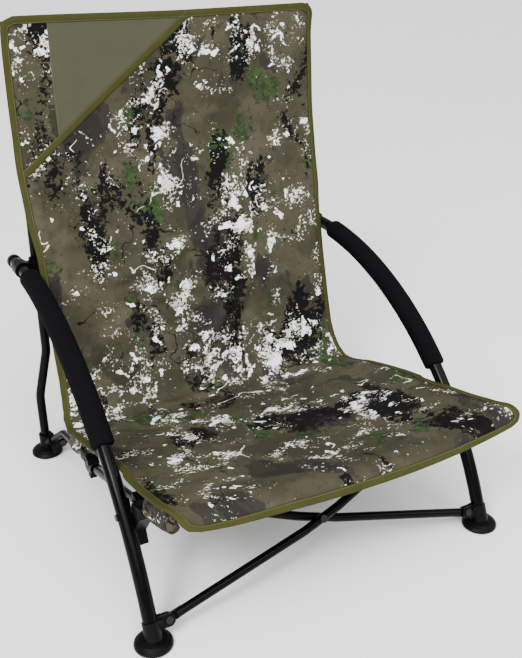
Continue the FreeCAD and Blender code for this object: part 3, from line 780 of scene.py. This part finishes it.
def build_patch():
    """A plain cloth piece sewn between the back's top edge, an upright seam and the slanting tape."""
    (right, top), (left, bottom) = DIAGONAL
    slope = (left - right) / (bottom - top)
    low = top + (PATCH_SEAM - right) / slope
    rows, cols = PATCH_CELLS, PATCH_CELLS
    points, uvs, faces = [], [], []
    for row in range(rows + 1):
        b = top + (low - top) * row / rows
        reach = max(right + slope * (b - top), PATCH_SEAM + PATCH_MIN_REACH)
        for col in range(cols + 1):
            a = PATCH_SEAM + (reach - PATCH_SEAM) * col / cols
            turned = PATCH_LIFT - PATCH_TURN * (1 - smoothstep(0.0, PATCH_TURN, a - PATCH_SEAM))
            points.append(on_sling(a, b, turned))
            uvs.append((a + PATCH_UV[0], b + PATCH_UV[1]))
    for row in range(rows):
        for col in range(cols):
            base = row * (cols + 1) + col
            faces.append((base, base + 1, base + cols + 2, base + cols + 1))
    return make_object("patch_cloth", points, faces, KHAKI, uvs)


STRIP_THICK = 0.0012
STRIP_SECTION = [(-0.5, 0.0), (-0.5, 0.7), (-0.42, 1.0), (0.42, 1.0), (0.5, 0.7), (0.5, 0.0)]


def strip(name, path, width, lift, material):
    """A flat tape laid along an open flat path on the sling."""
    rings, uvs = [], []
    run = 0.0
    for index, (a, b) in enumerate(path):
        if index:
            run += math.dist(path[index], path[index - 1])
        ix, iy = path_inward(path, index, closed=False)
        ring = []
        for step, (side, up) in enumerate(STRIP_SECTION):
            ring.append(on_sling(a + ix * side * width, b + iy * side * width, lift + up * STRIP_THICK))
            uvs.append((run, step * width / 5))
        rings.append(ring)
    return loft(name, rings, material, uvs=uvs)


def line(start, end, count):
    """Evenly spaced flat points from start to end."""
    return [(start[0] + (end[0] - start[0]) * i / (count - 1),
             start[1] + (end[1] - start[1]) * i / (count - 1)) for i in range(count)]


# Pockets and tabs ---------------------------------------------------------------------------------

TEAR_STEPS = 12
TEAR_SHARES = (0.35, 0.7, 1.0)
SEAM_HALF = 0.0022
SLEEVE_END_SHARES = [0.972, 0.984, 0.993, 1.0]
SLEEVE_CLOSE = 0.97
SLEEVE_LEAN = 0.0012
SLEEVE_UV = 0.37
POCKET_SEW_X = 0.247
SEW_INSET = 0.003
SEW_DROP = 0.0014
SEAT_FROM = 0.56


def teardrop(half, bottom, top, neck):
    """Cross-section of cloth wrapped round a tube and sewn together above it: (sideways, height)."""
    points = []
    for step in range(TEAR_STEPS + 1):
        angle = math.pi + math.pi * step / TEAR_STEPS
        points.append((half * math.cos(angle), bottom + half + half * math.sin(angle)))
    shoulder = bottom + half
    for side, shares in ((1, TEAR_SHARES), (-1, TEAR_SHARES[::-1])):
        for share in shares:
            across = half + (neck - half) * smoothstep(0, 1, share)
            points.append((side * across, shoulder + (top - shoulder) * share))
    return points


def wrap(name, side, centre_x, ends, half, rows):
    """A cloth sleeve along the rail, sewn up to the sling; ends are (y, z of the rail's centre)."""
    rings, uvs = [], []
    shares = [row / rows for row in range(rows)] + SLEEVE_END_SHARES
    for share in shares:
        y = ends[0][0] + (ends[1][0] - ends[0][0]) * share
        z = ends[0][1] + (ends[1][1] - ends[0][1]) * share
        top = sling_height(y, side * POCKET_SEW_X)
        puff = 1.0 + 0.10 * math.sin(share * math.pi) + 0.03 * math.sin(share * 19)
        puff *= 1 - 0.5 * max(share - SLEEVE_CLOSE, 0) / (1 - SLEEVE_CLOSE)
        ring = []
        section = teardrop(half * puff, -half * puff, top - z, SEAM_HALF)
        for index, (across, height) in enumerate(section):
            lean = SLEEVE_LEAN * math.sin(height * 140 + share * 5)
            ring.append((side * (centre_x + across + lean), y, z + height))
            uvs.append((y + SLEEVE_UV * side, z + height + index * SECTION_UV))
        rings.append(ring)
    return loft(name, rings, CAMO, caps=True, uvs=uvs)


def dress(piece, body, node):
    """The piece rides on the body and stands for the CAD node, in the sling's cloth."""
    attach(piece, body)
    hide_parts(node)
    return piece


def sling_height(y, x):
    """Height of the seat cloth's underside at this depth near its side edge."""
    best = min((abs(point.y - y), index) for index, point in enumerate(PATH) if index > ROWS * SEAT_FROM)
    b = LENGTH * best[1] / (ROWS - 1)
    reach = half_width(b) - SEW_INSET
    return on_sling(max(min(x - front_pull(b), reach), -reach), b).z - SEW_DROP


FRONT_POCKET = {"half": 0.0080, "slope": 0.3328, "rise": 0.0095, "short": 0.005, "rows": 14}
RAIL_TAB = {"half": 0.0078, "slope": 0.2544, "rise": 0.009, "short": 0.0, "rows": 10}


def rail_sleeve(label, side, part, centre_x, made):
    """The sleeve that stands for a front pocket or a rail tab."""
    low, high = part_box(f"{label}_{part}")
    rear_z = low[2] + made["rise"]
    front = low[1] + made["short"]
    ends = ((high[1], rear_z), (front, rear_z + made["slope"] * (high[1] - front)))
    return wrap(f"{label}_{part}_cloth", side, centre_x, ends, made["half"], made["rows"])


def build_pockets():
    """Both sides' front pocket, rail tab and top pocket."""
    pieces = []
    for side, label, body in ((-1, "left", ROOT), (1, "right", RIGHT)):
        low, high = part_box(f"{label}_rail_front_tube")
        piece = rail_sleeve(label, side, "front_pocket", abs(low[0] + high[0]) / 2, FRONT_POCKET)
        pieces.append(dress(piece, body, f"{label}_front_pocket"))
        low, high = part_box(f"{label}_rail_tab")
        piece = rail_sleeve(label, side, "rail_tab", abs(low[0] + high[0]) / 2, RAIL_TAB)
        pieces.append(dress(piece, body, f"{label}_rail_tab"))
        pieces.append(dress(top_pocket(label), body, f"{label}_top_pocket"))
    return pieces


TOP_ROWS = 18
TOP_STEPS = 28
TOP_CLOSE = 0.86
TOP_UV = 0.11
TOP_WOBBLE = 0.0006
TOP_SQUARE_X = 0.6
TOP_SQUARE_Y = 0.75


def top_pocket(label):
    """The flat sleeve behind the back's top corner that slips over the post."""
    low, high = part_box(f"{label}_top_pocket")
    low, high = Vector(low), Vector(high)
    centre, half = (low + high) / 2, (high - low) / 2
    rings, uvs = [], []
    for row in range(TOP_ROWS):
        share = row / (TOP_ROWS - 1)
        z = low.z + (high.z - low.z) * share
        close = 1.0
        if share >= TOP_CLOSE:
            close = math.sqrt(max(1 - ((share - TOP_CLOSE) / (1 - TOP_CLOSE)) ** 2 * 0.9, 0.0))
        ring = []
        for step in range(TOP_STEPS):
            angle = 2 * math.pi * step / TOP_STEPS
            cx, cy = math.cos(angle), math.sin(angle)
            x = math.copysign(abs(cx) ** TOP_SQUARE_X, cx) * half.x
            y = math.copysign(abs(cy) ** TOP_SQUARE_Y, cy) * half.y * close
            wobble = TOP_WOBBLE * math.sin(z * 260 + angle * 3)
            ring.append((centre.x + x + wobble, centre.y + y + (1 - close) * -half.y * 0.5, z))
            uvs.append((step * SECTION_UV + TOP_UV, z))
        rings.append(ring)
    return loft(f"{label}_top_pocket_cloth", rings, CAMO, caps=True, uvs=uvs)


# Foam grips ---------------------------------------------------------------------------------------

ARC_CENTRE = (0.22256, -0.16867)
ARC_RADIUS = 0.512
GRIP_DEGREES = {"left": (40.6, 1.2), "right": (41.8, 3.6)}
GRIP_RADIUS = 0.016
TUBE_RADIUS = 0.0101
LEG_X = 0.267
GRIP_STEPS = 70
GRIP_SIDES = 48
LUMP_FROM = 0.0125
LUMP = 0.012
# The rounded end, as (distance from the grip's end, radius).
GRIP_END = [(0.004, TUBE_RADIUS), (0.0, TUBE_RADIUS + 0.0001), (-0.0002, 0.0118), (0.0, 0.0132),
            (0.0006, 0.0145), (0.0016, 0.0154), (0.0032, 0.0159)]


def grip_ring(side, angle, distance, radius):
    """One ring of foam round the arm, a little uneven where it is thick."""
    centre = Vector((side * LEG_X, ARC_CENTRE[0] - ARC_RADIUS * math.sin(angle),
                     ARC_CENTRE[1] + ARC_RADIUS * math.cos(angle)))
    out = Vector((0, -math.sin(angle), math.cos(angle)))
    across = Vector((1, 0, 0))
    ring = []
    for step in range(GRIP_SIDES):
        turn = 2 * math.pi * step / GRIP_SIDES
        spot = Vector((distance * 22, math.cos(turn) * 1.5, math.sin(turn) * 1.5 + side * 7))
        size = radius * (1 + LUMP * noise.noise(spot) if radius > LUMP_FROM else 1.0)
        ring.append(centre + out * math.sin(turn) * size + across * math.cos(turn) * size)
    return ring


def build_grips():
    """A foam sleeve over each arm, softly rounded at its ends."""
    for side, label, body in ((-1, "left", ROOT), (1, "right", RIGHT)):
        start, end = (math.radians(value) for value in GRIP_DEGREES[label])
        length = (start - end) * ARC_RADIUS
        edge = GRIP_END[-1][0]
        places = list(GRIP_END)
        places += [(edge + (length - 2 * edge) * index / GRIP_STEPS, GRIP_RADIUS)
                   for index in range(1, GRIP_STEPS)]
        places += [(length - distance, radius) for distance, radius in GRIP_END[::-1]]
        rings = [grip_ring(side, start + (end - start) * distance / length, distance, radius)
                 for distance, radius in places]
        piece = loft(f"{label}_grip_foam", rings, FOAM)
        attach(piece, body)
        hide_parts(f"{label}_foam_grip")


# CAD nodes keep their shapes and get their finishes -----------------------------------------------

FINISHES = [("foam_grip", FOAM), ("_pin", STEEL), ("rivet", STEEL), ("tube", COAT), ("post_cap", PLASTIC),
            ("post", COAT), ("brace", COAT)]


def finish_nodes():
    """Each CAD node takes the first finish whose word is in its name, or else moulded plastic."""
    for name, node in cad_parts.items():
        finish = next((material for word, material in FINISHES if word in name), PLASTIC)
        for spot in node.material_slots:
            spot.link = "OBJECT"
            spot.material = finish


# Stage --------------------------------------------------------------------------------------------

CAMERA_PLACE = (-0.5409, -1.0956, 0.8640)
CAMERA_YAW = 27.391
CAMERA_PITCH = 26.386
CAMERA_ROLL = 0.292
CAMERA_LENS = 49.2
CAMERA_SENSOR = 36.0
CAMERA_SHIFT = (-0.0026, 0.0248)
FLOOR_HALF = 9.0
LIGHT_TARGET = (0, 0, 0.35)
# name, place, size in metres, watts
AREA_LIGHTS = [("key_light", (-1.9, -1.5, 2.3), 0.9, 95), ("fill_light", (2.2, -1.6, 1.5), 1.6, 30)]
SUN_POWER = 4.8
SUN_ANGLE = 75
SUN_TURN = (31, -14, 0)
WORLD_COLOR = (1.0, 1.0, 1.0, 1)
WORLD_POWER = 0.6


def build_camera():
    """The camera at the photograph's viewing angle, as fitted."""
    data = bpy.data.cameras.new("camera")
    data.sensor_fit = "VERTICAL"
    data.sensor_height = CAMERA_SENSOR
    data.sensor_width = CAMERA_SENSOR
    data.lens = CAMERA_LENS
    data.shift_x, data.shift_y = CAMERA_SHIFT
    camera = bpy.data.objects.new("camera", data)
    bpy.context.scene.collection.objects.link(camera)
    turn = (Matrix.Rotation(math.radians(-CAMERA_YAW), 4, "Z")
            @ Matrix.Rotation(math.radians(90 - CAMERA_PITCH), 4, "X")
            @ Matrix.Rotation(math.radians(-CAMERA_ROLL), 4, "Z"))
    camera.matrix_world = Matrix.Translation(CAMERA_PLACE) @ turn
    bpy.context.scene.camera = camera


def area_light(name, place, size, power):
    """A round soft light that points at the chair."""
    data = bpy.data.lights.new(name, "AREA")
    data.shape = "DISK"
    data.size = size
    data.energy = power
    light = bpy.data.objects.new(name, data)
    light.location = place
    light.rotation_euler = (Vector(LIGHT_TARGET) - Vector(place)).to_track_quat("-Z", "Y").to_euler()
    bpy.context.scene.collection.objects.link(light)


def build_stage():
    """The floor, two area lights, a broad sun and a pale world."""
    size = FLOOR_HALF
    corners = [(-size, -size, 0), (size, -size, 0), (size, size, 0), (-size, size, 0)]
    floor = make_object("studio_floor", corners, [(0, 1, 2, 3)], floor_material(), smooth=False)
    for light in AREA_LIGHTS:
        area_light(*light)
    sun = bpy.data.lights.new("sky_light", "SUN")
    sun.energy = SUN_POWER
    sun.angle = math.radians(SUN_ANGLE)
    lamp = bpy.data.objects.new("sky_light", sun)
    lamp.rotation_euler = [math.radians(value) for value in SUN_TURN]
    bpy.context.scene.collection.objects.link(lamp)
    world = bpy.data.worlds.new("studio_world")
    world.use_nodes = True
    background = world.node_tree.nodes["Background"]
    background.inputs["Color"].default_value = WORLD_COLOR
    background.inputs["Strength"].default_value = WORLD_POWER
    bpy.context.scene.world = world


# Assembly of the soft goods -----------------------------------------------------------------------

EDGE_STITCH_INSET = 0.0082
EDGE_STITCH_LIFT = 0.0019
DIAGONAL_TAPE = 0.0108
DIAGONAL_POINTS = 90
SEAM_ENDS = ((PATCH_SEAM + 0.0024, 0.014), (PATCH_SEAM + 0.0024, 0.168))
SEAM_POINTS = 60
SEAM_LIFT = PATCH_LIFT + 0.0001
TAPE_STITCH_INSET = 0.0045
TAPE_STITCH_LIFT = PATCH_LIFT + 0.0011
AREA_STEPS = 400


def cloth_area():
    """Area of the flat cloth, in square metres."""
    middles = (LENGTH * (step + 0.5) / AREA_STEPS for step in range(AREA_STEPS))
    return sum(2 * half_width(middle) for middle in middles) * LENGTH / AREA_STEPS


def build_soft():
    """The sling with everything sewn to it."""
    sling = build_sling()
    binding = build_binding()
    edge_stitches = build_stitches("binding_stitches", border_path(), EDGE_STITCH_INSET, EDGE_STITCH_LIFT)
    patch = build_patch()
    diagonal = line(*DIAGONAL, DIAGONAL_POINTS)
    tape = strip("patch_binding", diagonal, DIAGONAL_TAPE, PATCH_LIFT - 0.0002, BINDING)
    seam = line(*SEAM_ENDS, SEAM_POINTS)
    seam_stitches = build_stitches("seam_stitches", seam, 0.0, SEAM_LIFT, closed=False)
    tape_stitches = build_stitches("patch_stitches", diagonal, TAPE_STITCH_INSET, TAPE_STITCH_LIFT,
                                   closed=False)
    soft = [binding, edge_stitches, patch, tape, tape_stitches, seam_stitches]
    for piece in [sling] + soft:
        gather(piece)
    pockets = build_pockets()
    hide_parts("sling_back", "sling_seat")
    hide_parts("corner_patch")
    cloth_area()


def main():
    """The stage, the camera, the CAD nodes' finishes and the soft goods."""
    build_stage()
    build_camera()
    finish_nodes()
    build_soft()
    build_grips()


main()
